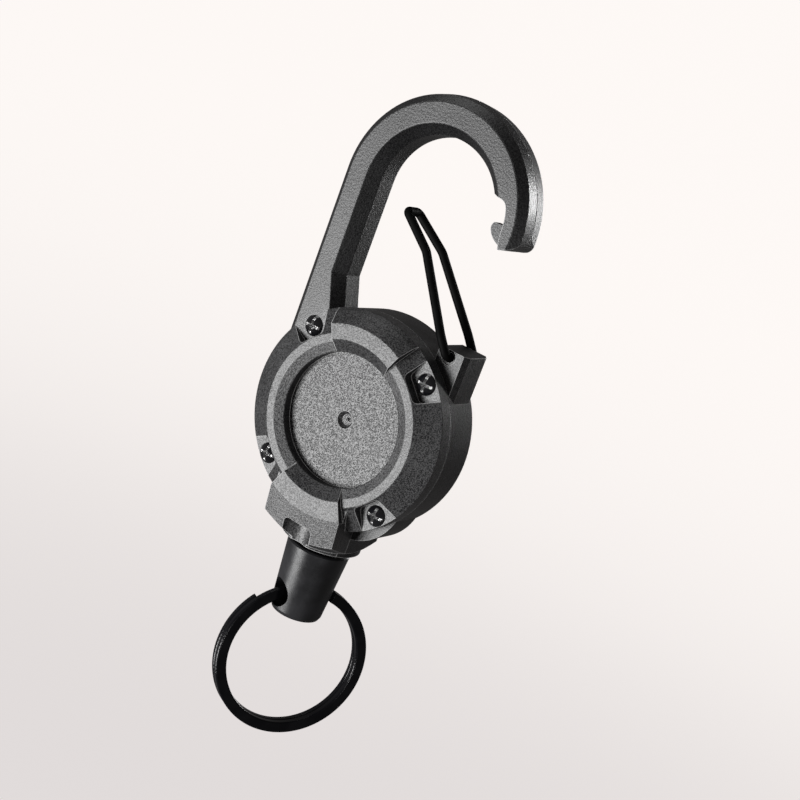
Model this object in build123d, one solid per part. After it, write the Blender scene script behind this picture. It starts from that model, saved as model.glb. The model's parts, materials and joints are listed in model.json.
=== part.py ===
from build123d import *
import math
import os

# Retractable badge reel with a moulded carabiner hook.
# Frame: origin at the centre height of the hook's eye, on the reel's main axis and on the
# plane the gate swings in. +Z points up the hook, the label side faces -Y. Units are millimetres.

# ---------------------------------------------------------------- driving dimensions
CASE_R = 20.0
SPOOL_Z = -40.9
SEAM_Y = -4.0
CASE_BACK_Y = 6.0
CORD_Y = 0.4
WALL = 1.6
FIT = 0.05
EDGE_R = 0.2
SEAM_GROOVE = 0.15

# front cover, depths measured towards -Y
LABEL_R = 12.1
LABEL_Y = -6.9
RIM_Y = -7.0
PLATEAU_Y = -9.3
SECTOR_Y = -10.2
SECTOR_HALF_ANGLE = 26.0
POCKET_Y = -7.0
SCREW_PITCH_R = 18.0
SCREW_HEAD_R = 1.95
SCREW_HEAD_HEIGHT = 1.0
SCREW_SHANK_R = 1.1
SCREW_CROSS_LENGTH = 3.0
SCREW_CROSS_WIDTH = 0.5
SCREW_ANGLES = [45, 135, 225, 315]

# exit boss below the case
BOSS_HALF_WIDTH = 8.0
BOSS_FRONT_Y = -9.0
BOSS_CORNER_DROP = 22.0
BOSS_COLLAR_DROP = 24.7
BOSS_COLLAR_R = 7.7
BOSS_SLOPE = 0.55
SCOOP_HALF_WIDTH = 3.15
SCOOP_TOP_DROP = 20.5
SCOOP_DEPTH = 2.0

# carabiner hook
HOOK_FRONT_Y = -4.0
HOOK_BACK_Y = 4.5
HOOK_ARC_X = -1.3
HOOK_RIDGE_R = 19.15
HOOK_OUTER_R = 18.85
HOOK_FACE_OUTER_R = 17.4
HOOK_FACE_INNER_R = 13.75
HOOK_INNER_R = 11.9
HOOK_EDGE_R = 0.25
PARTING_HALF = 0.12
NOSE_TIP_Z = -2.6
LIP_HALF_T = 1.15

# wire gate and its lug
WIRE_R = 0.8
GATE_PIVOT = (13.4, -22.8)
GATE_LOWER = 19.2
GATE_UPPER = 8.5
GATE_BEND = 15.5
GATE_OPEN_ANGLE = 39.3
GATE_TIP_Y = 1.95
GATE_FOOT_Y = 4.95
GATE_FOOT_STRAIGHT = 4.0
LUG_HALF_T = 4.0
LUG_BORE_R = 0.9

# spool
AXLE_R = 1.5
ARBOR_R = 2.6
HUB_R = 10.2
HUB_BORE_R = 9.2
FLANGE_R = 14.8
GROOVE_HALF = 1.5
FLANGE_T = 0.9
WOUND_R = 13.8
DRUM_FRONT_Y = -3.9
DRUM_BACK_Y = 2.9
LID_T = 0.7
STRIP_T = 0.2
SPIRAL_PITCH = 0.76
SPIRAL_HALF_TURNS = 15

# cord, connector and split ring
CORD_R = 0.55
BUSHING_R = 3.0
BUSHING_TOP_DROP = 21.2
CORD_CORNER_DROP = 19.2
CONNECTOR_TOP_DROP = 26.0
CONNECTOR_BOTTOM_DROP = 40.4
CONNECTOR_TOP_R = 6.1
CONNECTOR_BOTTOM_R = 4.95
HOLE_DROP = 36.6
HOLE_R = 2.75
HOLE_ANGLE = 244.0
RING_R = 14.0
RING_RADIAL = 2.1
RING_TURN_T = 1.38
RING_EDGE_R = 0.3
RING_PITCH = 1.44
RING_HANG = 13.1
RING_SHIFT = -0.6
RING_HEADING = 235.0
RING_LEAN = 7.0
RING_TILT = 8.9
RING_JOG = 22
RING_REAR_START = 35
RING_FRONT_END = 333

FRONT_CAVITY_Y = LABEL_Y + WALL
BACK_CAVITY_Y = CASE_BACK_Y - WALL
AT_SPOOL = Pos(0, 0, SPOOL_Z)


# ---------------------------------------------------------------- shape helpers
def turned(points, edge_r=0.0):
    """Solid of revolution about the spool axis from (radius, y) points.

    With edge_r, every corner that shows on the front of the case is rounded.
    """
    face = make_face(Polyline(*points, close=True))
    if edge_r:
        shown = face.vertices().filter_by(lambda v: v.X > 1 and v.Y < RIM_Y + 0.01)
        face = fillet(shown, edge_r)
    return AT_SPOOL * revolve(face, Axis.Y)


def upright(points, x, y):
    """Solid of revolution about a vertical axis at (x, y) from (radius, z) points."""
    face = Plane.XZ * make_face(Polyline(*points, close=True))
    return Pos(x, y, 0) * revolve(face, Axis.Z)


def prism(sketch, front_y, back_y):
    """Sketch drawn in (x, z), extruded from back_y forward to front_y."""
    plane = Plane(origin=(0, back_y, 0), x_dir=(1, 0, 0), z_dir=(0, -1, 0))
    return extrude(plane * sketch, amount=back_y - front_y)


def outline(*points):
    return make_face(Polyline(*points, close=True))


def disc(radius, front_y, back_y, x=0.0, z=SPOOL_Z):
    return prism(Pos(x, z) * Circle(radius), front_y, back_y)


def wedge(centre_angle, half_angle, reach, front_y, back_y):
    """Pie slice about the spool axis; angles are measured from +X towards +Z."""
    a0 = math.radians(centre_angle - half_angle)
    a1 = math.radians(centre_angle + half_angle)
    slice_face = outline(
        (0, 0),
        (reach * math.cos(a0), reach * math.sin(a0)),
        (reach * math.cos(a1), reach * math.sin(a1)),
    )
    return prism(Pos(0, SPOOL_Z) * slice_face, front_y, back_y)


def around_screws():
    """Angle and (x, z) position of each cover screw."""
    for angle in SCREW_ANGLES:
        a = math.radians(angle)
        yield angle, SCREW_PITCH_R * math.cos(a), SPOOL_Z + SCREW_PITCH_R * math.sin(a)


def boss_block(front_y, back_y):
    """Exit boss between two depths: straight sides, a tapered underside and a round collar."""
    reach = BOSS_COLLAR_DROP + 1
    block = prism(
        Pos(0, SPOOL_Z - reach / 2 - 4) * Rectangle(2 * BOSS_HALF_WIDTH, reach - 8),
        front_y,
        back_y,
    )
    mid_y = (BOSS_FRONT_Y + 0.8 + CASE_BACK_Y) / 2
    corner_r = math.hypot(BOSS_HALF_WIDTH, CASE_BACK_Y - mid_y)
    corner_z = SPOOL_Z - BOSS_CORNER_DROP
    tip_z = corner_z - BOSS_SLOPE * corner_r
    far_r = 2 * corner_r
    under = upright([(0, tip_z), (far_r, tip_z + BOSS_SLOPE * far_r), (far_r, 0), (0, 0)], 0, mid_y)
    floor_z = SPOOL_Z - BOSS_COLLAR_DROP
    above_floor = Pos(0, 0, floor_z + 30) * Box(60, 60, 60)
    collar = Pos(0, 0.1, floor_z + 4) * Cylinder(BOSS_COLLAR_R, 8)
    slab = prism(Pos(0, SPOOL_Z - 20) * Rectangle(40, 40), front_y, back_y)
    return (block & under & above_floor) + (collar & slab)


def cord_passage():
    """Vertical bore for the exit bushing and the slot that lets the cord reach the drum."""
    bore_length = BOSS_COLLAR_DROP - BUSHING_TOP_DROP
    bore = Pos(0, CORD_Y, SPOOL_Z - BOSS_COLLAR_DROP) * Cylinder(BUSHING_R, 2 * bore_length)
    slot = prism(
        outline(
            (-1.6, SPOOL_Z - BUSHING_TOP_DROP - 0.2),
            (1.6, SPOOL_Z - BUSHING_TOP_DROP - 0.2),
            (4.8, SPOOL_Z - 15),
            (-1.6, SPOOL_Z - 15),
        ),
        CORD_Y - 1.4,
        CORD_Y + 1.4,
    )
    return bore + slot


def exit_web():
    """Gusset that widens the round case smoothly into both sides of the exit boss."""
    arc = ThreePointArc((15.3, -12.9), (12.9, -17.35), (BOSS_HALF_WIDTH, -20.3))
    half = make_face(arc + Polyline(arc @ 1, (0, -20.3), (0, -12.9), arc @ 0))
    return prism(Pos(0, SPOOL_Z) * (half + mirror(half, Plane.YZ)), SEAM_Y, 3.0)


# ---------------------------------------------------------------- front cover
def screw_pocket():
    floor = outline((15.6, -2.6), (22.0, -4.45), (22.0, 4.45), (15.6, 2.6))
    return fillet(floor.vertices().filter_by(lambda v: v.X < 16), 0.9)


def make_front_cover():
    cover = turned(
        [
            (0, LABEL_Y),
            (LABEL_R, LABEL_Y),
            (LABEL_R, -8.65),
            (14.0, PLATEAU_Y),
            (15.5, PLATEAU_Y),
            (CASE_R, RIM_Y),
            (CASE_R, SEAM_Y - SEAM_GROOVE),
            (CASE_R - SEAM_GROOVE, SEAM_Y),
            (0, SEAM_Y),
        ],
        EDGE_R,
    )
    upper = turned(
        [
            (LABEL_R, SEAM_Y - 1),
            (LABEL_R, -8.65),
            (14.4, SECTOR_Y),
            (17.2, SECTOR_Y),
            (19.4, -8.3),
            (CASE_R, -7.4),
            (CASE_R, SEAM_Y - 1),
        ],
        EDGE_R,
    )
    lower = turned(
        [
            (LABEL_R, SEAM_Y),
            (LABEL_R, -8.65),
            (14.4, SECTOR_Y),
            (17.9, SECTOR_Y),
            (26.0, BOSS_FRONT_Y + 0.2),
            (26.0, SEAM_Y),
        ],
        EDGE_R,
    )
    cover += upper & wedge(90, SECTOR_HALF_ANGLE, 40, -12, 0)
    boss = boss_block(-12, SEAM_Y)
    cover += lower & wedge(270, SECTOR_HALF_ANGLE, 60, -12, 0) & (boss + disc(18.3, -12, 0))
    cover += boss & turned([(14.4, BOSS_FRONT_Y), (26, BOSS_FRONT_Y + 0.2), (26, 0), (14.4, 0)])

    scoop = prism(
        Pos(0, SPOOL_Z - SCOOP_TOP_DROP - 4) * RectangleRounded(2 * SCOOP_HALF_WIDTH, 8, 1.0),
        -12,
        BOSS_FRONT_Y + SCOOP_DEPTH,
    )
    round_r = (SCOOP_HALF_WIDTH**2 + SCOOP_DEPTH**2) / (2 * SCOOP_DEPTH)
    groove_y = BOSS_FRONT_Y + SCOOP_DEPTH - round_r
    cover -= scoop & (Pos(0, groove_y, SPOOL_Z - 24) * Cylinder(round_r, 12))

    for angle, x, z in around_screws():
        pocket = Pos(0, SPOOL_Z) * Rot(0, 0, angle) * screw_pocket()
        cover -= prism(pocket, -12, POCKET_Y)
        cover -= disc(SCREW_SHANK_R + 0.15, -12, 0, x, z)

    cover -= turned(
        [
            (0, 0),
            (15.4, 0),
            (15.4, -5.0),
            (15.0, -7.5),
            (13.7, -7.5),
            (13.7, FRONT_CAVITY_Y),
            (0, FRONT_CAVITY_Y),
        ]
    )
    cover += turned([(0, FRONT_CAVITY_Y), (0, -4.5), (3.4, -4.5), (3.4, FRONT_CAVITY_Y)])
    cover -= disc(AXLE_R, -5.3, 0)
    dimple = turned([(0, -8), (1.75, -8), (1.55, -6.6), (1.0, -6.15), (0, -6.05)])
    cover -= dimple
    cover += turned([(0, -5.9), (0.4, -6.0), (0.34, -6.5), (0.0, -6.55)])
    cover -= cord_passage()
    return cover


# ---------------------------------------------------------------- rear housing
def hook_section(widen=0.0):
    """Cross-section of the hook in (radius, y); widen carries its inner side into the eye.

    The outer side is drafted both ways from a grooved parting line at y = 0.
    """
    corners = outline(
        (HOOK_RIDGE_R, PARTING_HALF),
        (HOOK_RIDGE_R - PARTING_HALF, 0),
        (HOOK_RIDGE_R, -PARTING_HALF),
        (HOOK_OUTER_R, -2.5),
        (HOOK_FACE_OUTER_R, HOOK_FRONT_Y),
        (HOOK_FACE_INNER_R - widen, HOOK_FRONT_Y),
        (HOOK_INNER_R - widen, -1.6),
        (HOOK_INNER_R - widen, 2.8),
        (HOOK_FACE_INNER_R - widen, HOOK_BACK_Y),
        (HOOK_FACE_OUTER_R, HOOK_BACK_Y),
        (HOOK_OUTER_R, 3.0),
    )
    return fillet(corners.vertices().filter_by(lambda v: v.X <= HOOK_OUTER_R), HOOK_EDGE_R)


def arm_face(z, widen):
    """Horizontal section of the hook's straight arm at height z."""
    return Pos(HOOK_ARC_X, 0, z) * mirror(hook_section(widen), Plane.YZ)


def make_hook():
    arch = Pos(HOOK_ARC_X, 0, 0) * revolve(hook_section(), Axis.Y)
    arch &= Pos(0, 0, 30 + NOSE_TIP_Z) * Box(80, 80, 60)
    arch -= Pos(-15, 0, -15) * Box(30, 20, 30)
    arm_foot_z = SPOOL_Z + 22.5
    arm = extrude(arm_face(arm_foot_z, 0), amount=-arm_foot_z)
    foot = loft([arm_face(arm_foot_z, 0), arm_face(SPOOL_Z + 13.5, 3.2)], ruled=True)
    root = extrude(arm_face(SPOOL_Z, 3.2), amount=13.5)

    # the nose is cut back in a curve that clears the closed gate's cross-bar
    bight = Spline((8.6, 5.9), (11.3, 5.75), (12.7, 5.35), (13.45, 4.1), (13.95, 1.6), (15.0, -3.2))
    arch -= prism(make_face(bight + Polyline(bight @ 1, (8.6, -3.2), bight @ 0)), -6, 6)
    tip = Spline((14.0, -2.5), (16.2, -1.8), (17.3, -0.85), (17.75, 0.8), (17.9, 2.4))
    below = Polyline(tip @ 1, (21, 2.4), (21, -3.5), (14.0, -3.5), tip @ 0)
    arch -= prism(make_face(tip + below), -6, 6)

    # a thin lip on the gate's plane catches the cross-bar
    edge = Spline((10.75, 1.35), (10.45, 0.4), (11.1, -0.85), (12.9, -2.05), (14.4, -2.4))
    lip = make_face(edge + Polyline(edge @ 1, (15.0, -2.0), (15.0, 1.35), edge @ 0))
    return arch + arm + foot + root + prism(lip, -LIP_HALF_T, LIP_HALF_T)


def make_lug():
    """Upright block on the shoulder of the case that carries both feet of the gate."""
    lug = prism(
        outline(
            (11.0, SPOOL_Z + 8),
            (11.0, SPOOL_Z + 19.4),
            (16.9, SPOOL_Z + 19.4),
            (16.9, SPOOL_Z + 8),
        ),
        -LUG_HALF_T,
        LUG_HALF_T,
    )
    outer = lug.edges().filter_by(Axis.Z).filter_by(lambda e: e.center().X > 16)
    return chamfer(outer, 1.2, 0.8)


def make_rear_housing():
    housing = turned(
        [
            (0, SEAM_Y),
            (CASE_R - SEAM_GROOVE, SEAM_Y),
            (CASE_R, SEAM_Y + SEAM_GROOVE),
            (CASE_R, 3.7),
            (CASE_R - 0.3, 4.0),
            (15.5, CASE_BACK_Y),
            (0, CASE_BACK_Y),
        ]
    )
    housing += exit_web()
    housing += boss_block(SEAM_Y, CASE_BACK_Y)
    housing += make_lug()
    housing += make_hook()

    housing -= turned(
        [
            (0, SEAM_Y),
            (18.0, SEAM_Y),
            (18.0, BACK_CAVITY_Y - 1),
            (17.0, BACK_CAVITY_Y),
            (0, BACK_CAVITY_Y),
        ]
    )
    ring = turned([(15.6, SEAM_Y), (18.2, SEAM_Y), (18.2, BACK_CAVITY_Y), (15.6, BACK_CAVITY_Y)])
    for _, x, z in around_screws():
        post = disc(2.3, SEAM_Y, BACK_CAVITY_Y + 0.2, x, z)
        housing += post & ring
        housing -= disc(SCREW_SHANK_R, SEAM_Y - 1, 2.2, x, z)
    housing += turned([(0, 3.5), (4.2, 3.5), (4.2, BACK_CAVITY_Y + 0.2), (0, BACK_CAVITY_Y + 0.2)])
    housing -= disc(AXLE_R, 0, 5.2)
    pivot = Pos(GATE_PIVOT[0], 0, GATE_PIVOT[1]) * Rot(90, 0, 0)
    housing -= pivot * Cylinder(LUG_BORE_R, 16)
    for side in (-1, 1):
        housing -= Pos(0, side * LUG_HALF_T, 0) * pivot * Cylinder(1.35, 0.6)
    housing -= cord_passage()
    return housing


# ---------------------------------------------------------------- wire gate
def make_wire_gate():
    """One wire: a foot in each side of the lug, two converging legs and a cross-bar at the tip."""
    px, pz = GATE_PIVOT
    lower = math.radians(GATE_OPEN_ANGLE)
    upper = math.radians(GATE_OPEN_ANGLE + GATE_BEND)
    knee = (px - GATE_LOWER * math.sin(lower), pz + GATE_LOWER * math.cos(lower))
    tip = (knee[0] - GATE_UPPER * math.sin(upper), knee[1] + GATE_UPPER * math.cos(upper))
    knee_y = GATE_TIP_Y + 0.9
    straight = (
        px - GATE_FOOT_STRAIGHT * math.sin(lower),
        pz + GATE_FOOT_STRAIGHT * math.cos(lower),
    )
    leg = [
        (px, -GATE_FOOT_Y + 2.5, pz),
        (px, -GATE_FOOT_Y, pz),
        (straight[0], -GATE_FOOT_Y, straight[1]),
        (knee[0], -knee_y, knee[1]),
        (tip[0], -GATE_TIP_Y, tip[1]),
    ]
    mirrored = [(x, -y, z) for x, y, z in reversed(leg)]
    path = FilletPolyline(*leg, *mirrored, radius=[0.95, 8.0, 4.0, 0.95, 0.95, 4.0, 8.0, 0.95])
    section = Plane(origin=leg[0], z_dir=(0, -1, 0)) * Circle(WIRE_R)
    return sweep(section, path)


# ---------------------------------------------------------------- screws
def make_cover_screws():
    """Four pan-head cross-recess screws as one group of separate solids."""
    top_y = POCKET_Y - SCREW_HEAD_HEIGHT
    dome_r = (SCREW_HEAD_R**2 + SCREW_HEAD_HEIGHT**2) / (2 * SCREW_HEAD_HEIGHT)
    screws = []
    for _, x, z in around_screws():
        head = disc(SCREW_HEAD_R, top_y, POCKET_Y, x, z)
        head &= Pos(x, top_y + dome_r, z) * Sphere(dome_r)
        shank = disc(SCREW_SHANK_R - 0.02, POCKET_Y, 2.0, x, z)
        cross = Rectangle(SCREW_CROSS_LENGTH, SCREW_CROSS_WIDTH)
        cross += Rectangle(SCREW_CROSS_WIDTH, SCREW_CROSS_LENGTH)
        taper = Cone(0.3, SCREW_CROSS_LENGTH / 2 + 0.2, 1.6)
        recess = prism(Pos(x, z) * cross, top_y - 0.5, top_y + 1.5)
        recess &= Pos(x, top_y + 0.5, z) * Rot(90, 0, 0) * taper
        screws.append(head + shank - recess)
    return Compound(children=screws)


# ---------------------------------------------------------------- spool
def make_spool_axle():
    axle = disc(AXLE_R, -5.25, 5.15) + disc(ARBOR_R, -2.9, 2.85)
    slot = prism(Pos(0, SPOOL_Z + 2) * Rectangle(0.5, 4), -2.7, 2.7)
    return axle - slot


def make_spool_drum():
    front, back = CORD_Y - GROOVE_HALF, CORD_Y + GROOVE_HALF
    drum = turned(
        [
            (2.4, DRUM_FRONT_Y),
            (HUB_R, DRUM_FRONT_Y),
            (HUB_R, front - FLANGE_T),
            (FLANGE_R, front - FLANGE_T),
            (FLANGE_R, front),
            (HUB_R, front),
            (HUB_R, back),
            (FLANGE_R, back),
            (FLANGE_R, back + FLANGE_T),
            (HUB_R, back + FLANGE_T),
            (HUB_R, DRUM_BACK_Y),
            (HUB_BORE_R, DRUM_BACK_Y),
            (HUB_BORE_R, DRUM_FRONT_Y + 0.8),
            (2.4, DRUM_FRONT_Y + 0.8),
        ]
    )
    anchor_slot = prism(Pos(-HUB_R + 0.6, SPOOL_Z) * Rectangle(1.6, 1.5), front, back)
    return drum - anchor_slot


def make_drum_bushing():
    bore, back = AXLE_R + FIT, DRUM_FRONT_Y + 0.9
    return turned([(bore, DRUM_FRONT_Y), (2.4, DRUM_FRONT_Y), (2.4, back), (bore, back)])


def make_spool_lid():
    rim, inner = HUB_BORE_R, ARBOR_R + FIT
    lid_y = DRUM_BACK_Y - LID_T
    return turned([(inner, lid_y), (rim, lid_y), (rim, DRUM_BACK_Y), (inner, DRUM_BACK_Y)])


def make_power_spring():
    """Flat spiral strip, drawn as half turns whose centres step from side to side."""
    half_t = STRIP_T / 2
    first_r = ARBOR_R + 0.3
    arcs = []
    for side in (half_t, -half_t):
        x = first_r + side
        for k in range(SPIRAL_HALF_TURNS):
            radius = first_r + k * SPIRAL_PITCH / 2 + side
            centre = 0.0 if k % 2 == 0 else SPIRAL_PITCH / 2
            up = 1 if k % 2 == 0 else -1
            start, end = (centre + up * radius, 0), (centre - up * radius, 0)
            arcs.append(ThreePointArc(start, (centre, up * radius), end))
    last = SPIRAL_HALF_TURNS - 1
    end_r = first_r + last * SPIRAL_PITCH / 2
    end_x = -end_r if last % 2 == 0 else end_r + SPIRAL_PITCH / 2
    caps = [
        Line((first_r - half_t, 0), (first_r + half_t, 0)),
        Line((end_x - half_t, 0), (end_x + half_t, 0)),
    ]
    strip = make_face(Wire(arcs + caps))
    return prism(Pos(0, SPOOL_Z) * strip, -2.7, 1.9)


def make_washer(front_y, back_y):
    bore = AXLE_R + 0.1
    return turned([(bore, front_y), (4.0, front_y), (4.0, back_y), (bore, back_y)])


# ---------------------------------------------------------------- cord
def make_wound_cord():
    front, back = CORD_Y - GROOVE_HALF + 0.1, CORD_Y + GROOVE_HALF - 0.1
    inner = HUB_R + 0.02
    return turned([(inner, front), (WOUND_R, front), (WOUND_R, back), (inner, back)])


def make_cord_anchor():
    return Pos(-HUB_R + 0.45, CORD_Y, SPOOL_Z) * Box(0.8, 1.4, 1.4)


def make_cord_lead():
    """Cord from its tangent point on the wound bulk, round the exit corner, to the ferrule."""
    grip_r = WOUND_R + CORD_R + 0.05
    turn = math.acos(grip_r / CORD_CORNER_DROP)
    tangent = Vector(grip_r * math.sin(turn), CORD_Y, SPOOL_Z - grip_r * math.cos(turn))
    corner = Vector(0, CORD_Y, SPOOL_Z - CORD_CORNER_DROP)
    end = Vector(0, CORD_Y, SPOOL_Z - CONNECTOR_TOP_DROP - 2.2)
    path = FilletPolyline(tangent, corner, end, radius=3.0)
    section = Plane(origin=tangent, z_dir=corner - tangent) * Circle(CORD_R)
    return sweep(section, path)


def make_exit_bushing():
    """Trumpet-mouthed eyelet pressed into the boss, with a flange under the collar."""
    top, floor = SPOOL_Z - BUSHING_TOP_DROP, SPOOL_Z - BOSS_COLLAR_DROP
    section = [
        (0.9, top - 1.2),
        (1.2, top - 0.4),
        (2.0, top),
        (BUSHING_R, top),
        (BUSHING_R, floor),
        (4.6, floor),
        (4.6, floor - 0.5),
        (0.9, floor - 0.5),
    ]
    return upright(section, 0, CORD_Y)


# ---------------------------------------------------------------- connector and ring
def make_connector_body():
    top, bottom = SPOOL_Z - CONNECTOR_TOP_DROP, SPOOL_Z - CONNECTOR_BOTTOM_DROP
    body = upright(
        [
            (0, top),
            (CONNECTOR_TOP_R - 0.3, top),
            (CONNECTOR_TOP_R, top - 0.3),
            (CONNECTOR_BOTTOM_R + 0.05, bottom + 0.9),
            (CONNECTOR_BOTTOM_R - 0.25, bottom + 0.25),
            (CONNECTOR_BOTTOM_R - 0.9, bottom),
            (0, bottom),
        ],
        0,
        CORD_Y,
    )
    pocket = upright(
        [
            (0, top),
            (3.6, top),
            (3.6, top - 1.2),
            (2.6, top - 1.2),
            (2.6, top - 5.6),
            (0, top - 5.6),
        ],
        0,
        CORD_Y,
    )
    a = math.radians(HOLE_ANGLE)
    hole_centre = (0, CORD_Y, SPOOL_Z - HOLE_DROP)
    hole_plane = Plane(origin=hole_centre, z_dir=(math.cos(a), math.sin(a), 0))
    hole = extrude(hole_plane * Circle(HOLE_R), amount=20, both=True)
    return body - pocket - hole


def make_connector_cap():
    top = SPOOL_Z - CONNECTOR_TOP_DROP
    return upright(
        [(0.9, top + 0.6), (3.4, top + 0.6), (3.6, top + 0.4), (3.6, top - 1.2), (0.9, top - 1.2)],
        0,
        CORD_Y,
    )


def make_cord_ferrule():
    """Crimped stop on the cord's end, free to turn inside the connector."""
    top = SPOOL_Z - CONNECTOR_TOP_DROP - 2.2
    return upright(
        [
            (0, top),
            (1.6, top),
            (1.9, top - 0.3),
            (1.9, top - 2.8),
            (1.5, top - 3.1),
            (0, top - 3.1),
        ],
        0,
        CORD_Y,
    )


def make_swivel_washer():
    top = SPOOL_Z - CONNECTOR_TOP_DROP - 1.35
    return upright([(0.75, top), (2.4, top), (2.4, top - 0.7), (0.75, top - 0.7)], 0, CORD_Y)


def ring_section(angle, layer):
    """Flat wire section at an angle round the ring; layer is its offset along the ring's axis."""
    a = math.radians(angle)
    radial = Vector(math.cos(a), math.sin(a), 0)
    tangent = Vector(-math.sin(a), math.cos(a), 0)
    plane = Plane(origin=radial * RING_R + Vector(0, 0, layer), x_dir=radial, z_dir=tangent)
    return plane * RectangleRounded(RING_RADIAL, RING_TURN_T, RING_EDGE_R)


def make_split_ring():
    """Two flat turns joined by a jog, which is the part that lies in the connector's hole."""
    layer = RING_PITCH / 2
    front = revolve(ring_section(RING_JOG, layer), Axis.Z, RING_FRONT_END - RING_JOG)
    rear_span = 360 - RING_JOG - RING_REAR_START
    rear = revolve(ring_section(RING_REAR_START, -layer), Axis.Z, rear_span)
    steps = [-1, -0.75, -0.5, -0.25, 0, 0.25, 0.5, 0.75, 1]
    jog = loft([ring_section(RING_JOG * t, layer * math.sin(math.pi / 2 * t)) for t in steps])
    coil = front + rear + jog

    heading, lean = math.radians(RING_HEADING), math.radians(RING_LEAN)
    along = Vector(math.cos(heading), math.sin(heading), 0)
    across = Vector(-math.sin(heading), math.cos(heading), 0)
    normal = across * math.cos(lean) + Vector(0, 0, math.sin(lean))
    hole = Plane(origin=(0, CORD_Y, SPOOL_Z - HOLE_DROP), x_dir=along, z_dir=normal)
    hang = Pos(0, RING_HANG, RING_SHIFT) * Rot(0, 0, -90)
    return hole.location * Rot(0, 0, RING_TILT) * hang * coil


PARTS = {
    "front_cover": make_front_cover(),
    "rear_housing": make_rear_housing(),
    "wire_gate": make_wire_gate(),
    "cover_screws": make_cover_screws(),
    "spool_axle": make_spool_axle(),
    "spool_drum": make_spool_drum(),
    "drum_bushing": make_drum_bushing(),
    "spool_lid": make_spool_lid(),
    "power_spring": make_power_spring(),
    "front_thrust_washer": make_washer(-4.45, -3.95),
    "rear_thrust_washer": make_washer(2.95, 3.45),
    "wound_cord": make_wound_cord(),
    "cord_anchor": make_cord_anchor(),
    "cord_lead": make_cord_lead(),
    "exit_bushing": make_exit_bushing(),
    "connector_body": make_connector_body(),
    "connector_cap": make_connector_cap(),
    "cord_ferrule": make_cord_ferrule(),
    "swivel_washer": make_swivel_washer(),
    "split_ring": make_split_ring(),
}

os.makedirs("parts", exist_ok=True)
for name, solid in PARTS.items():
    export_step(solid, f"parts/{name}.step")
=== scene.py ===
import json
import math

import bmesh
import bpy
from mathutils import Matrix, Vector


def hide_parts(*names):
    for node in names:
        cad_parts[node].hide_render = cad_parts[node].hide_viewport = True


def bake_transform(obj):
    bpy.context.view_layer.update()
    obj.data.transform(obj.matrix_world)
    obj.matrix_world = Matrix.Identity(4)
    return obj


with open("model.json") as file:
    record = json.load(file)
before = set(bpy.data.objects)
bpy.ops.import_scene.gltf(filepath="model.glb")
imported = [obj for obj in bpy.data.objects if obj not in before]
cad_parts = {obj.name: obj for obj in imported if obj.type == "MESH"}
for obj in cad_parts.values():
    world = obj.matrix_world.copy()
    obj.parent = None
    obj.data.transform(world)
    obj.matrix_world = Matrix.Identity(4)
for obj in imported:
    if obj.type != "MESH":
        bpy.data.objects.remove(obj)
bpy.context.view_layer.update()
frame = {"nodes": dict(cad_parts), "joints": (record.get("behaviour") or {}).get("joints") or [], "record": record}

MM = 0.001
joints = {joint["name"]: joint for joint in frame["joints"]}
SPOOL_Z = joints["spool_spin"]["pos_m"][2]
CORD_Y = joints["connector_swivel"]["pos_m"][1]


def add_object(name, data):
    made = bpy.data.objects.new(name, data)
    bpy.context.scene.collection.objects.link(made)
    return made


def add_mesh(name, bm):
    """Smooth-shaded object made from a bmesh, which it frees."""
    mesh = bpy.data.meshes.new(name)
    bm.to_mesh(mesh)
    bm.free()
    mesh.shade_smooth()
    return add_object(name, mesh)


# ---------------------------------------------------------------- camera
IMAGE_SIZE = 800
FOCAL_PX = 1482.0
SENSOR_WIDTH = 36.0
CAMERA_TARGET = Vector((9.12, -7.2, -32.75)) * MM
CAMERA_DISTANCE = 257.3 * MM
CAMERA_AZIMUTH, CAMERA_ELEVATION, CAMERA_ROLL = 28.14, 14.31, 20.75


def make_camera():
    """Places the camera and returns its own right, up and backward directions."""
    data = bpy.data.cameras.new("camera")
    data.sensor_width = SENSOR_WIDTH
    data.lens = FOCAL_PX / IMAGE_SIZE * SENSOR_WIDTH
    data.clip_start, data.clip_end = 0.01, 20.0
    cam = add_object("camera", data)
    angles = (CAMERA_AZIMUTH, CAMERA_ELEVATION, CAMERA_ROLL)
    turn, rise, roll = (math.radians(angle) for angle in angles)
    back_x, back_y = math.sin(turn) * math.cos(rise), -math.cos(turn) * math.cos(rise)
    back = Vector((back_x, back_y, math.sin(rise)))
    level_right = (-back).cross(Vector((0, 0, 1))).normalized()
    level_up = level_right.cross(-back)
    right = math.cos(roll) * level_right + math.sin(roll) * level_up
    up = -math.sin(roll) * level_right + math.cos(roll) * level_up
    facing = Matrix((right, up, back)).transposed().to_4x4()
    cam.matrix_world = Matrix.Translation(CAMERA_TARGET + back * CAMERA_DISTANCE) @ facing
    bpy.context.scene.camera = cam
    return right, up, back


cam_right, cam_up, cam_back = make_camera()
bpy.context.scene.view_settings.view_transform = "Standard"
bpy.context.scene.view_settings.look = "None"


# ---------------------------------------------------------------- node materials
# Radius that the shading gives to the sharp edges of each kind of piece.
CASE_EDGE_R, SMOOTH_EDGE_R, METAL_EDGE_R = 0.20 * MM, 0.15 * MM, 0.12 * MM
# Cosine between rounded and true normal where an edge starts to show, and where it is full.
EDGE_START, EDGE_FULL = 0.995, 0.90

SCREW_OFFSET = 18.0 * MM * math.sqrt(0.5)
CROSS_HALF_WIDTH, CROSS_REACH = 0.22 * MM, 1.45 * MM


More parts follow.
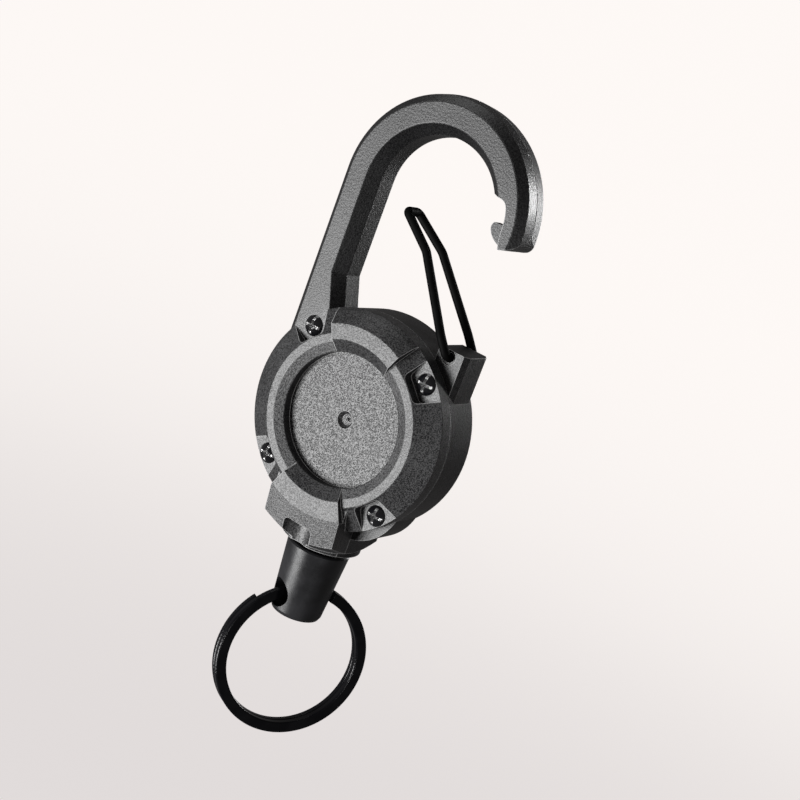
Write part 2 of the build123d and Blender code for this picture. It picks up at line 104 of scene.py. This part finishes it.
class Graph:
    """A material's node tree with short calls for making and joining nodes."""

    def __init__(self, name):
        self.material = bpy.data.materials.new(name)
        self.material.use_nodes = True
        self.tree = self.material.node_tree
        self.shader = self.tree.nodes["Principled BSDF"]
        self.coords = self.node("ShaderNodeTexCoord").outputs["Object"]

    def node(self, kind, inputs=None, **settings):
        made = self.tree.nodes.new(kind)
        for key, value in settings.items():
            setattr(made, key, value)
        for key, value in (inputs or {}).items():
            self.put(value, made.inputs[key])
        return made

    def put(self, value, socket):
        if isinstance(value, bpy.types.NodeSocket):
            self.tree.links.new(value, socket)
        else:
            socket.default_value = value

    def set(self, **values):
        """Sets or links sockets of the Principled shader."""
        for key, value in values.items():
            self.put(value, self.shader.inputs[key.replace("_", " ")])

    def math(self, operation, a, b=0.0):
        return self.node("ShaderNodeMath", {0: a, 1: b}, operation=operation).outputs[0]

    def add(self, a, b, share):
        """a and a share of b."""
        return self.math("ADD", a, self.math("MULTIPLY", b, share))

    def noise(self, size, detail=2.0, roughness=0.5, vector=None):
        """Noise whose features are about size metres across, from 0 to 1."""
        inputs = {"Scale": 1.0 / size, "Detail": detail, "Roughness": roughness}
        inputs["Vector"] = vector or self.coords
        return self.node("ShaderNodeTexNoise", inputs).outputs["Fac"]

    def cells(self, size):
        """Distance from the centre of the nearest of cells about size metres across."""
        inputs = {"Vector": self.coords, "Scale": 1.0 / size}
        return self.node("ShaderNodeTexVoronoi", inputs).outputs["Distance"]

    def ramp(self, value, low, high, to_low=0.0, to_high=1.0):
        """Smooth step from to_low at low to to_high at high."""
        made = self.node(
            "ShaderNodeMapRange",
            {0: value, 1: low, 2: high, 3: to_low, 4: to_high},
            clamp=True,
            interpolation_type="SMOOTHSTEP",
        )
        return made.outputs[0]

    def within(self, distance, limit, fade):
        """1 where distance is under limit, falling to 0 over the next fade metres."""
        return self.ramp(distance, limit + fade, limit)

    def mix(self, factor, a, b):
        """Colour a at factor 0 and b at 1; each is a socket or three linear values."""
        a, b = (c if isinstance(c, bpy.types.NodeSocket) else (*c, 1) for c in (a, b))
        return self.node("ShaderNodeMix", {0: factor, 6: a, 7: b}, data_type="RGBA").outputs[2]

    def mix_value(self, factor, a, b):
        return self.node("ShaderNodeMix", {0: factor, 2: a, 3: b}, data_type="FLOAT").outputs[0]

    def radius(self, axes, z=0.0):
        """Distance from the point (0, 0, z), along only the axes marked 1."""
        place = {"Vector": self.coords, "Location": (0, 0, -z), "Scale": axes}
        flat = self.node("ShaderNodeMapping", place).outputs[0]
        return self.node("ShaderNodeVectorMath", {0: flat}, operation="LENGTH").outputs["Value"]

    def rounded(self, radius):
        return self.node("ShaderNodeBevel", {"Radius": radius}, samples=6).outputs[0]

    def edge_highlight_mask(self, rounded):
        """1 along the rounded edges, 0 on the faces between them."""
        flat = self.node("ShaderNodeNewGeometry").outputs["Normal"]
        dot = self.node("ShaderNodeVectorMath", {0: rounded, 1: flat}, operation="DOT_PRODUCT")
        return self.ramp(dot.outputs["Value"], EDGE_START, EDGE_FULL)

    def screw_cross(self):
        """1 inside the cross recess of each of the four cover screws."""
        place = self.node("ShaderNodeSeparateXYZ", {0: self.coords}).outputs
        across, rise = (
            self.math("ABSOLUTE", self.math("SUBTRACT", self.math("ABSOLUTE", v), SCREW_OFFSET))
            for v in (place[0], self.math("SUBTRACT", place[2], SPOOL_Z))
        )
        slot = self.within(self.math("MINIMUM", across, rise), CROSS_HALF_WIDTH, 0.05 * MM)
        reach = self.within(self.math("MAXIMUM", across, rise), CROSS_REACH, 0.10 * MM)
        return self.math("MULTIPLY", slot, reach)

    def bump(self, height, distance, normal=None):
        inputs = {"Height": height, "Distance": distance}
        if normal is not None:
            inputs["Normal"] = normal
        return self.node("ShaderNodeBump", inputs).outputs[0]


# Pale grey of the painted highlights along rounded edges and in the screws' cross recess.
PAINTED_HIGHLIGHT_GREY = (0.60, 0.60, 0.60)
# Each gloss is the shader's specular level on the dark speckles, then on the light ones.
GRAIN, GRAIN_DEPTH, GRAIN_GLOSS = 0.21 * MM, 0.04 * MM, (0.30, 0.62)
PIT_SIZE, PIT_SHARE = 2.2 * GRAIN, 0.6
LABEL_R = 12.1 * MM
LABEL_GRAIN, LABEL_HEIGHT, LABEL_GLOSS = 0.9 * GRAIN, 1.8, (0.22, 0.80)
POLISH_DEPTH = 0.004 * MM


def textured_plastic(name, dark, light, label=False):
    """Black moulded plastic with a spark-eroded grain and painted highlights along its edges; the label recess has
    its own grain.
    """
    g = Graph(name)
    rounded = g.rounded(CASE_EDGE_R)
    edge = g.edge_highlight_mask(rounded)
    fine = g.noise(GRAIN, detail=1.5, roughness=0.6)
    cloud = g.noise(9 * MM, detail=3.0)
    height = g.add(fine, g.cells(PIT_SIZE), PIT_SHARE)
    tone = g.mix_value(0.15, fine, cloud)
    gloss = GRAIN_GLOSS
    if label:
        inside = g.within(g.radius((1, 0, 1), SPOOL_Z), LABEL_R - 0.05 * MM, 0.07 * MM)
        coarse = g.noise(LABEL_GRAIN, detail=1.0)
        height = g.mix_value(inside, height, g.math("MULTIPLY", coarse, LABEL_HEIGHT))
        tone = g.mix_value(inside, tone, coarse)
        gloss = [g.mix_value(inside, a, b) for a, b in zip(GRAIN_GLOSS, LABEL_GLOSS)]
    speckle = g.ramp(tone, 0.38, 0.62)
    colour = g.mix(speckle, dark, light)
    g.set(
        # Painted highlight: the rounded edges are mixed toward pale grey in place of the light they catch.
        Base_Color=g.mix(g.math("MULTIPLY", edge, 0.85), colour, PAINTED_HIGHLIGHT_GREY),
        Roughness=g.add(g.mix_value(speckle, 0.40, 0.46), edge, share=-0.12),
        Specular_IOR_Level=g.mix_value(speckle, *gloss),
        Normal=g.bump(height, GRAIN_DEPTH, rounded),
    )
    return g.material


def smooth_plastic(name, dark, light, rough, gloss=0.5):
    """Polished or satin moulding: faint waviness and hairline marks."""
    g = Graph(name)
    fine = g.noise(0.5 * MM, detail=4.0, roughness=0.6)
    cloud = g.noise(5 * MM)
    marks = g.mix_value(0.4, fine, cloud)
    g.set(
        Base_Color=g.mix(g.ramp(cloud, 0.35, 0.65), dark, light),
        Roughness=g.ramp(marks, 0.35, 0.65, rough - 0.05, rough + 0.07),
        Specular_IOR_Level=gloss,
        Normal=g.bump(fine, POLISH_DEPTH, g.rounded(SMOOTH_EDGE_R)),
    )
    return g.material


def metal(name, dark, light, rough, metallic=1.0, gloss=0.5, cross=False):
    """Plated or turned metal with fine marks, a slight tone change and painted highlights that lighten its edges;
    cross paints the screws' cross recess pale and metallic as a painted highlight.
    """
    g = Graph(name)
    rounded = g.rounded(METAL_EDGE_R)
    fine = g.noise(0.12 * MM, detail=4.0, roughness=0.6)
    cloud = g.noise(3 * MM, detail=3.0)
    # Painted highlight: the edge mask lightens the colour along the rounded edges.
    tone = g.add(g.ramp(cloud, 0.3, 0.7, 0.0, 0.8), g.edge_highlight_mask(rounded), share=0.4)
    colour = g.mix(tone, dark, light)
    roughness = g.ramp(fine, 0.3, 0.7, rough - 0.06, rough + 0.08)
    if cross:
        # Painted highlight: the cross recess is painted pale and metallic in place of the bright lines of light in
        # it.
        cross_highlight = g.screw_cross()
        colour = g.mix(cross_highlight, colour, PAINTED_HIGHLIGHT_GREY)
        roughness = g.mix_value(cross_highlight, roughness, 0.30)
        metallic = g.math("MULTIPLY", cross_highlight, 0.9)
    g.set(
        Base_Color=colour,
        Roughness=roughness,
        Metallic=metallic,
        Specular_IOR_Level=gloss,
        Normal=g.bump(fine, POLISH_DEPTH, rounded),
    )
    return g.material


def yarn(name, dark, light):
    """Polyester yarn: fine filaments along the cord and a little fuzz."""
    g = Graph(name)
    stretch = g.node("ShaderNodeMapping", {"Vector": g.coords, "Scale": (1, 1, 0.25)}).outputs[0]
    filaments = g.noise(0.05 * MM, vector=stretch)
    height = g.add(filaments, g.noise(0.12 * MM, detail=3.0), share=0.5)
    g.set(
        Base_Color=g.mix(g.ramp(height, 0.5, 1.0), dark, light),
        Roughness=0.7,
        Sheen_Weight=0.3,
        Normal=g.bump(height, 0.02 * MM),
    )
    return g.material


CASE_DARK, CASE_LIGHT = (0.002, 0.002, 0.0025), (0.012, 0.012, 0.0125)
COVER_LIGHT = (0.046, 0.046, 0.047)
WIRE_DARK, WIRE_LIGHT = (0.002, 0.002, 0.002), (0.004, 0.004, 0.004)
SCREW_DARK, SCREW_LIGHT = (0.003, 0.003, 0.004), (0.008, 0.008, 0.009)
RING_DARK, RING_LIGHT = (0.002, 0.002, 0.003), (0.006, 0.006, 0.007)
SATIN_DARK, SATIN_LIGHT = (0.012, 0.012, 0.013), (0.020, 0.020, 0.022)
YARN_DARK, YARN_LIGHT = (0.006, 0.006, 0.007), (0.030, 0.030, 0.033)
STEEL_DARK, STEEL_LIGHT = (0.42, 0.42, 0.44), (0.62, 0.62, 0.64)
BLUED_DARK, BLUED_LIGHT = (0.20, 0.24, 0.32), (0.40, 0.44, 0.50)
BRASS_DARK, BRASS_LIGHT = (0.60, 0.44, 0.18), (0.74, 0.57, 0.27)
ACETAL_DARK, ACETAL_LIGHT = (0.66, 0.66, 0.62), (0.76, 0.76, 0.72)
WHITE_DARK, WHITE_LIGHT = (0.78, 0.78, 0.76), (0.86, 0.86, 0.84)

LOOKS = {
    "case_black": (textured_plastic, CASE_DARK, CASE_LIGHT, {}),
    "cover_black": (textured_plastic, CASE_DARK, COVER_LIGHT, dict(label=True)),
    "gate_wire": (metal, WIRE_DARK, WIRE_LIGHT, dict(rough=0.55, metallic=0.0, gloss=0.03)),
    "screw_black": (metal, SCREW_DARK, SCREW_LIGHT, dict(rough=0.12, cross=True)),
    "axle_steel": (metal, STEEL_DARK, STEEL_LIGHT, dict(rough=0.3)),
    "drum_acetal": (smooth_plastic, ACETAL_DARK, ACETAL_LIGHT, dict(rough=0.4)),
    "bushing_brass": (metal, BRASS_DARK, BRASS_LIGHT, dict(rough=0.3)),
    "spring_steel": (metal, BLUED_DARK, BLUED_LIGHT, dict(rough=0.28)),
    "washer_white": (smooth_plastic, WHITE_DARK, WHITE_LIGHT, dict(rough=0.45)),
    "cord": (yarn, YARN_DARK, YARN_LIGHT, {}),
    "bushing_black": (smooth_plastic, SATIN_DARK, SATIN_LIGHT, dict(rough=0.35)),
    "connector_black": (smooth_plastic, SATIN_DARK, SATIN_LIGHT, dict(rough=0.32, gloss=0.28)),
    "ring_black": (metal, RING_DARK, RING_LIGHT, dict(rough=0.18, metallic=0.0, gloss=0.20)),
}
MATERIALS = {
    name: make(name, dark, light, **settings)
    for name, (make, dark, light, settings) in LOOKS.items()
}


def dress(piece, material):
    piece.data.materials.clear()
    piece.data.materials.append(material)


for part in frame["record"]["subparts"]:
    piece = frame["nodes"][part["node"]]
    dress(piece, MATERIALS[part["material_slot"]])
    piece.data.shade_smooth()
# The cover is the housing's plastic with paler speckles and the label's own grain.
dress(frame["nodes"]["front_cover"], MATERIALS["cover_black"])


# ---------------------------------------------------------------- braided cord
# The cord leaves the wound bulk on a tangent, turns down at the corner and ends in the ferrule.
WRAP_R = 14.4 * MM
CORNER_DROP, FERRULE_DROP = 19.2 * MM, 28.2 * MM
wrap_turn = math.acos(WRAP_R / CORNER_DROP)
start_x, start_drop = WRAP_R * math.sin(wrap_turn), WRAP_R * math.cos(wrap_turn)

CORD_START = Vector((start_x, CORD_Y, SPOOL_Z - start_drop))
CORD_CORNER = Vector((0, CORD_Y, SPOOL_Z - CORNER_DROP))
CORD_END = Vector((0, CORD_Y, SPOOL_Z - FERRULE_DROP))
CORD_BEND_R = 3.0 * MM
CORD_STEP = 0.13 * MM
BRAID_R, BRAID_WAVE, BRAID_PITCH = 0.43 * MM, 0.05 * MM, 2.6 * MM
CORE_R, CORE_SIDES = BRAID_R - BRAID_WAVE, 16
STRANDS, STRAND_RADII, STRAND_SIDES = 6, (0.07 * MM, 0.17 * MM), 6
DEPTH_AXIS = Vector((0, 1, 0))


def straight(start, end, step):
    """Points from start, about step apart, that stop one short of end."""
    count = max(1, round((end - start).length / step))
    return [start.lerp(end, i / count) for i in range(count)]


def cord_path(step):
    """Points every step from the drum, round the exit corner, to the ferrule."""
    inward = (CORD_START - CORD_CORNER).normalized()
    outward = (CORD_END - CORD_CORNER).normalized()
    half_turn = (math.pi - inward.angle(outward)) / 2
    reach = CORD_BEND_R * math.tan(half_turn)
    first, last = CORD_CORNER + inward * reach, CORD_CORNER + outward * reach
    centre = CORD_CORNER + (inward + outward).normalized() * CORD_BEND_R / math.cos(half_turn)
    points = straight(CORD_START, first, step)
    bends = max(4, round(2 * half_turn * CORD_BEND_R / step))
    for i in range(bends):
        arm = (first - centre).normalized().slerp((last - centre).normalized(), i / bends)
        points.append(centre + arm * CORD_BEND_R)
    return points + straight(last, CORD_END, step) + [CORD_END]


def headings(path):
    """Direction of travel at each point of a path, from the points beside it."""
    after, before = path[1:] + path[-1:], path[:1] + path[:-1]
    return [(a - b).normalized() for a, b in zip(after, before)]


def add_tube(bm, centres, sides, radii, around):
    """Closed oval tube through centres; radii are its half-axes, along each of sides and across."""
    rings = []
    for centre, side, ahead in zip(centres, sides, headings(centres)):
        out = (side - side.dot(ahead) * ahead).normalized()
        across = ahead.cross(out)
        ring = []
        for k in range(around):
            a = 2 * math.pi * k / around
            offset = out * math.cos(a) * radii[0] + across * math.sin(a) * radii[1]
            ring.append(bm.verts.new(centre + offset))
        rings.append(ring)
    for ring, following in zip(rings, rings[1:]):
        for k in range(around):
            j = (k + 1) % around
            bm.faces.new((ring[k], ring[j], following[j], following[k]))
    bm.faces.new(rings[0][::-1])
    bm.faces.new(rings[-1])


def make_braided_cord():
    """Core and two crossing families of strands that pass over and under each other."""
    path = cord_path(CORD_STEP)
    lengths = [0.0]
    for a, b in zip(path, path[1:]):
        lengths.append(lengths[-1] + (b - a).length)
    ahead = headings(path)
    bm = bmesh.new()
    add_tube(bm, path, [DEPTH_AXIS] * len(path), (CORE_R, CORE_R), CORE_SIDES)
    for family in (1, -1):
        for strand in range(STRANDS):
            centres, sides = [], []
            for point, s, along in zip(path, lengths, ahead):
                turn = family * 2 * math.pi * s / BRAID_PITCH + 2 * math.pi * strand / STRANDS
                out = DEPTH_AXIS * math.cos(turn) + along.cross(DEPTH_AXIS) * math.sin(turn)
                wave = family * BRAID_WAVE * math.cos(2 * math.pi * s * STRANDS / BRAID_PITCH)
                centres.append(point + out * (BRAID_R + wave))
                sides.append(out)
            add_tube(bm, centres, sides, STRAND_RADII, STRAND_SIDES)
    cord = add_mesh("cord_braid", bm)
    dress(cord, MATERIALS["cord"])
    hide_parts("cord_lead")
    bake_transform(cord)


make_braided_cord()


# ---------------------------------------------------------------- stage and light
# Sizes of the stage are in metres.
FLOOR_Z, FLAT_R, WALL_R, WALL_TOP = -0.80, 2.0, 3.4, 4.0
SHOULDER_R, SHOULDER_Z, APEX_Z = 2.38, 5.6, 6.2
CURVE_STEPS, ROUND_STEPS = 12, 96
# Glow colours of the stage: painted shade on the floor's middle, painted light up the wall, blended between these
# radii.
FLOOR_SHADED_GLOW, WALL_LIT_GLOW = (0.67, 0.635, 0.63), (0.925, 0.885, 0.86)
GLOW_SHADE_FROM_R, GLOW_SHADE_TO_R = 0.9, 3.1
WORLD_COLOUR, WORLD_STRENGTH = (1.0, 0.96, 0.95, 1), 0.14


def make_stage():
    """Pale floor that sweeps up into a round backdrop, seen only by the camera; its glow is painted light, darker
    towards the middle of the floor.
    """
    profile = [(0.0, FLOOR_Z), (FLAT_R, FLOOR_Z)]
    bend = WALL_R - FLAT_R
    for step in range(1, CURVE_STEPS + 1):
        a = math.pi / 2 * step / CURVE_STEPS
        profile.append((FLAT_R + bend * math.sin(a), FLOOR_Z + bend * (1 - math.cos(a))))
    profile += [(WALL_R, WALL_TOP), (SHOULDER_R, SHOULDER_Z), (0.0, APEX_Z)]
    bm = bmesh.new()
    points = [bm.verts.new((r, 0, z)) for r, z in profile]
    edges = [bm.edges.new(pair) for pair in zip(points, points[1:])]
    axis = {"cent": (0, 0, 0), "axis": (0, 0, 1), "angle": 2 * math.pi, "steps": ROUND_STEPS}
    bmesh.ops.spin(bm, geom=points + edges, **axis)
    bmesh.ops.remove_doubles(bm, verts=bm.verts, dist=0.1 * MM)
    floor = add_mesh("floor", bm)
    for rays in ("diffuse", "glossy", "transmission", "volume_scatter", "shadow"):
        setattr(floor, "visible_" + rays, False)

    g = Graph("floor_paper_painted_glow")
    outward = g.ramp(g.radius((1, 1, 0)), GLOW_SHADE_FROM_R, GLOW_SHADE_TO_R)
    g.set(
        Base_Color=(0.30, 0.29, 0.29, 1),
        # Painted light and shade: the glow is darker on the floor's middle and lighter up the wall.
        Emission_Color=g.mix(outward, FLOOR_SHADED_GLOW, WALL_LIT_GLOW),
        Emission_Strength=1.0,
        Roughness=0.9,
        Normal=g.bump(g.noise(2 * MM, detail=3.0), 0.2 * MM),
    )
    dress(floor, g.material)


def make_world():
    world = bpy.data.worlds.new("studio")
    bpy.context.scene.world = world
    world.use_nodes = True
    background = world.node_tree.nodes["Background"]
    background.inputs["Color"].default_value = WORLD_COLOUR
    background.inputs["Strength"].default_value = WORLD_STRENGTH


def soft_box(name, place, size, power, aim=CAMERA_TARGET, spread=180):
    """Square softbox at a place in metres, aimed at a point, hidden from the camera."""
    data = bpy.data.lights.new(name, "AREA")
    data.size = size
    data.energy = power
    data.spread = math.radians(spread)
    light = add_object(name, data)
    light.location = place
    light.rotation_mode = "QUATERNION"
    light.rotation_quaternion = (place - aim).to_track_quat("Z", "Y")
    light.visible_camera = False


def from_camera(right, up, back, distance):
    """Point in the camera's own directions from the target, at a distance in metres."""
    away = right * cam_right + up * cam_up + back * cam_back
    return CAMERA_TARGET + away.normalized() * distance


make_stage()
make_world()
HOOK_SIDE = Vector((16, 0, 8)) * MM
RIM_PLACE = Vector((88, 100, 48)) * MM
soft_box("key", CAMERA_TARGET + Vector((-0.36, -0.67, -0.26)), size=0.40, power=12.2)
soft_box("top", from_camera(-0.1, 0.95, 0.10, 0.50), size=0.20, power=0.4)
soft_box("rim", RIM_PLACE, size=0.035, power=0.006, aim=HOOK_SIDE, spread=22)
soft_box("kicker", CAMERA_TARGET + Vector((0.62, -0.48, -0.16)), size=0.07, power=0.8)
soft_box("back", CAMERA_TARGET + Vector((0.0, 0.70, 0.0)), size=0.20, power=1.2)
